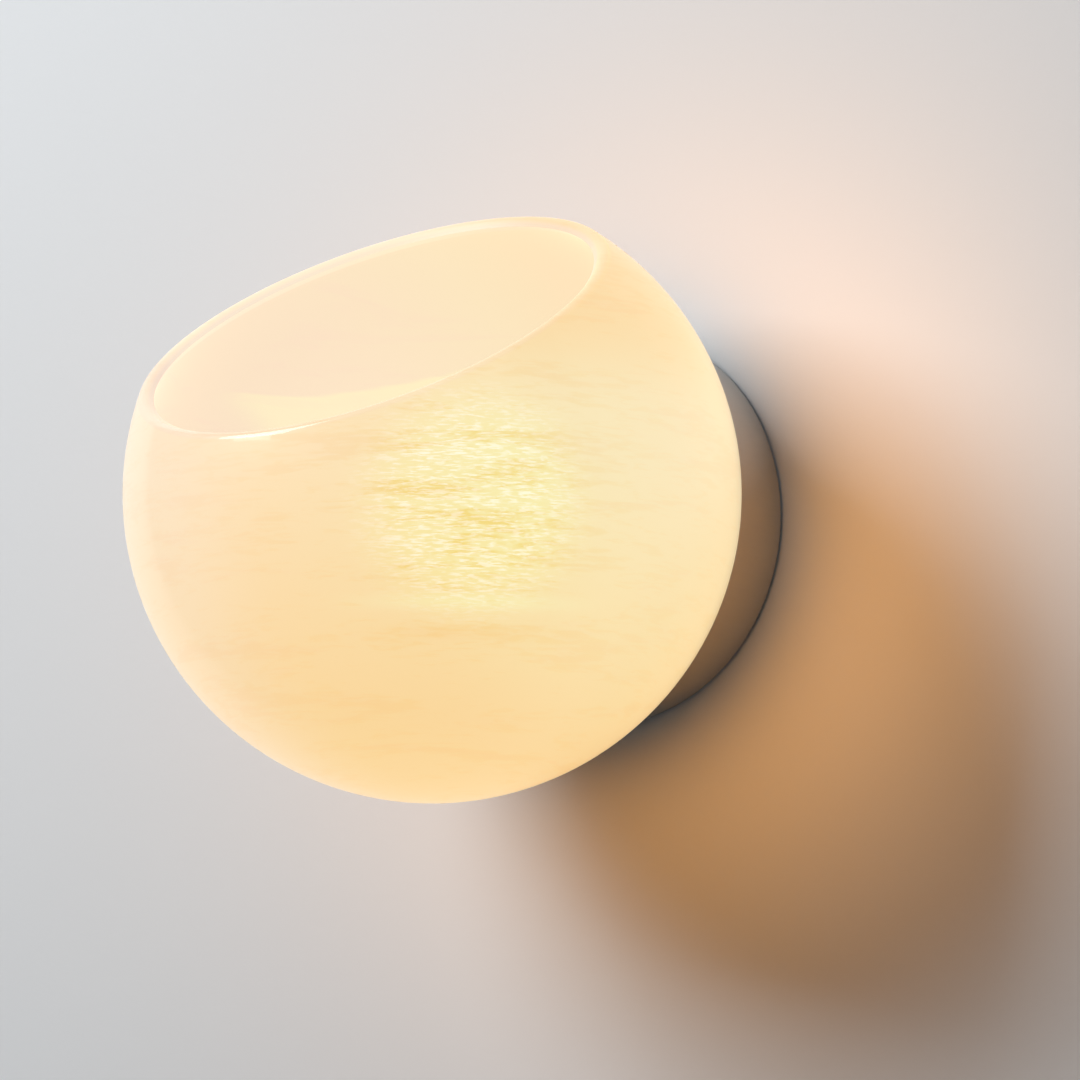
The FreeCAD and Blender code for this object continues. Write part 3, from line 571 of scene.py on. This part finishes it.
plastics = {  # and rubber, porcelain and glass: fade is how much darker the smudges are
    "blackFoam": {"colour": (0.03, 0.03, 0.03), "rough": 0.9, "fade": 0.3, "on": ("wall_gasket",)},
    "greyRubber": {"colour": (0.10, 0.095, 0.09), "rough": 0.7, "fade": 0.2, "on": ("seat_gasket", "ring_gasket")},
    "naturalNylon": {"colour": (0.80, 0.77, 0.70), "rough": 0.45, "fade": 0.06, "on": ("terminal_block",)},
    "whiteInsulation": {"colour": (0.82, 0.82, 0.80), "rough": 0.4, "fade": 0.06, "on": ("neutral_lead",)},
    "blackInsulation": {"colour": (0.02, 0.02, 0.02), "rough": 0.4, "fade": 0.06, "on": ("line_lead",)},
    "greenInsulation": {"colour": (0.08, 0.38, 0.14), "rough": 0.4, "fade": 0.06, "on": ("earth_lead",)},
    "blackResin": {"colour": (0.022, 0.020, 0.018), "rough": 0.32, "fade": 0.3,
                   "on": ("socket_cap", "socket_sleeve", "shade_ring")},
    "porcelain": {"colour": (0.86, 0.85, 0.81), "rough": 0.18, "fade": 0.06, "on": ("socket_core",)},
    "blackGlass": {"colour": (0.015, 0.015, 0.018), "rough": 0.12, "fade": 0.3, "on": ("bulb_insulator",)},
    "circuitBoard": {"colour": (0.05, 0.25, 0.10), "rough": 0.4, "fade": 0.2, "on": ("driver_board",)},
    "clearGlass": {"colour": (0.86, 0.88, 0.88), "rough": 0.1, "fade": 0.06, "on": ("bulb_stem",)},
}


# brushed or plated metal: fine lines, faint smudges and a little dulling
def paintMetal(name, look):
    sheet = Sheet(name)
    lines = sheet.noise(sheet.place(metalGrain["scale"]), 1.0, 3.0)
    smudge = sheet.noise(sheet.place(), metalGrain["smudgeScale"], 3.0, 0.6)
    dark = tuple(c * metalGrain["dark"] for c in look["colour"])
    tint = sheet.clamp(lines * metalGrain["lineShare"] + smudge * (1 - metalGrain["lineShare"]))
    dull = look["rough"] - metalGrain["polish"] + metalGrain["lineDull"] * lines + metalGrain["smudgeDull"] * smudge
    return sheet.finish({
        "Base Color": sheet.mix(tint, dark, look["colour"]), "Metallic": 1.0, "Roughness": sheet.clamp(dull),
        "Normal": sheet.bump(lines, metalGrain["bump"], metalGrain["bumpHeight"]),
    })


def paintPlastic(name, look):
    sheet = Sheet(name)
    fine = sheet.noise(sheet.place(), plasticGrain["fineScale"], 2.0)
    smudge = sheet.noise(sheet.place(), plasticGrain["smudgeScale"], 3.0)
    dark = tuple(c * (1 - look["fade"]) for c in look["colour"])
    dull = look["rough"] - plasticGrain["polish"] + plasticGrain["smudgeDull"] * smudge
    return sheet.finish({
        "Base Color": sheet.mix(sheet.clamp(smudge), dark, look["colour"]), "Roughness": sheet.clamp(dull),
        "Normal": sheet.bump(fine, plasticGrain["bump"], plasticGrain["bumpHeight"]),
    })


def dress(node, material):
    piece = nodes[node]
    piece.data.materials.clear()
    piece.data.materials.append(material)


for paint, looks in ((paintMetal, metals), (paintPlastic, plastics)):
    for finishName, look in looks.items():
        material = paint(finishName, look)
        for node in look["on"]:
            dress(node, material)

bulb = {
    "glass": (0.9, 0.88, 0.84), "rough": 0.45, "glow": 2.2, "dim": (255, 240, 200), "bright": (255, 250, 226),
    "frostScale": 700.0, "cloudScale": 30.0, "bump": 0.1, "bumpHeight": 0.0002,
}
filament = {"rough": 0.6, "glow": 3.0, "dim": (255, 190, 70), "bright": (255, 226, 150), "dotScale": 800.0}


def paintBulb():
    sheet = Sheet("frostedBulb")
    frost = sheet.noise(sheet.place(), bulb["frostScale"], 2.0)
    cloud = sheet.noise(sheet.place(), bulb["cloudScale"], 2.0)
    tone = sheet.mix(cloud, srgb(*bulb["dim"]), srgb(*bulb["bright"]))
    return sheet.finish({
        "Base Color": bulb["glass"], "Roughness": bulb["rough"],
        "Emission Color": tone, "Emission Strength": bulb["glow"],
        "Normal": sheet.bump(frost, bulb["bump"], bulb["bumpHeight"]),
    })


def paintFilament():
    sheet = Sheet("ledFilament")
    dots = sheet.noise(sheet.place(), filament["dotScale"], 2.0)
    tone = sheet.mix(dots, srgb(*filament["dim"]), srgb(*filament["bright"]))
    return sheet.finish({
        "Base Color": tone, "Roughness": filament["rough"],
        "Emission Color": tone, "Emission Strength": filament["glow"],
    })


dress("bulb_globe", paintBulb())
dress("filaments", paintFilament())
print("materials ready")


# limits what a light shines on (receiver) or what throws its shadows (blocker)
def linkLight(source, kind, pieces, state="INCLUDE"):
    group = bpy.data.collections.new(source.name + kind.title())
    for piece in pieces:
        group.objects.link(piece)
    for entry in group.collection_objects:
        entry.light_linking.link_state = state
    setattr(source.light_linking, kind + "_collection", group)


# the warm light on the wall comes off the whole glass, which keeps its own light to itself
linkLight(glowLamp, "blocker", [nodes["canopy"], nodes["wall_gasket"]])
linkLight(glowLamp, "receiver", [wall, floor, nodes["canopy"], nodes["wall_gasket"]])
linkLight(glassShade, "receiver", [wall, floor], "EXCLUDE")
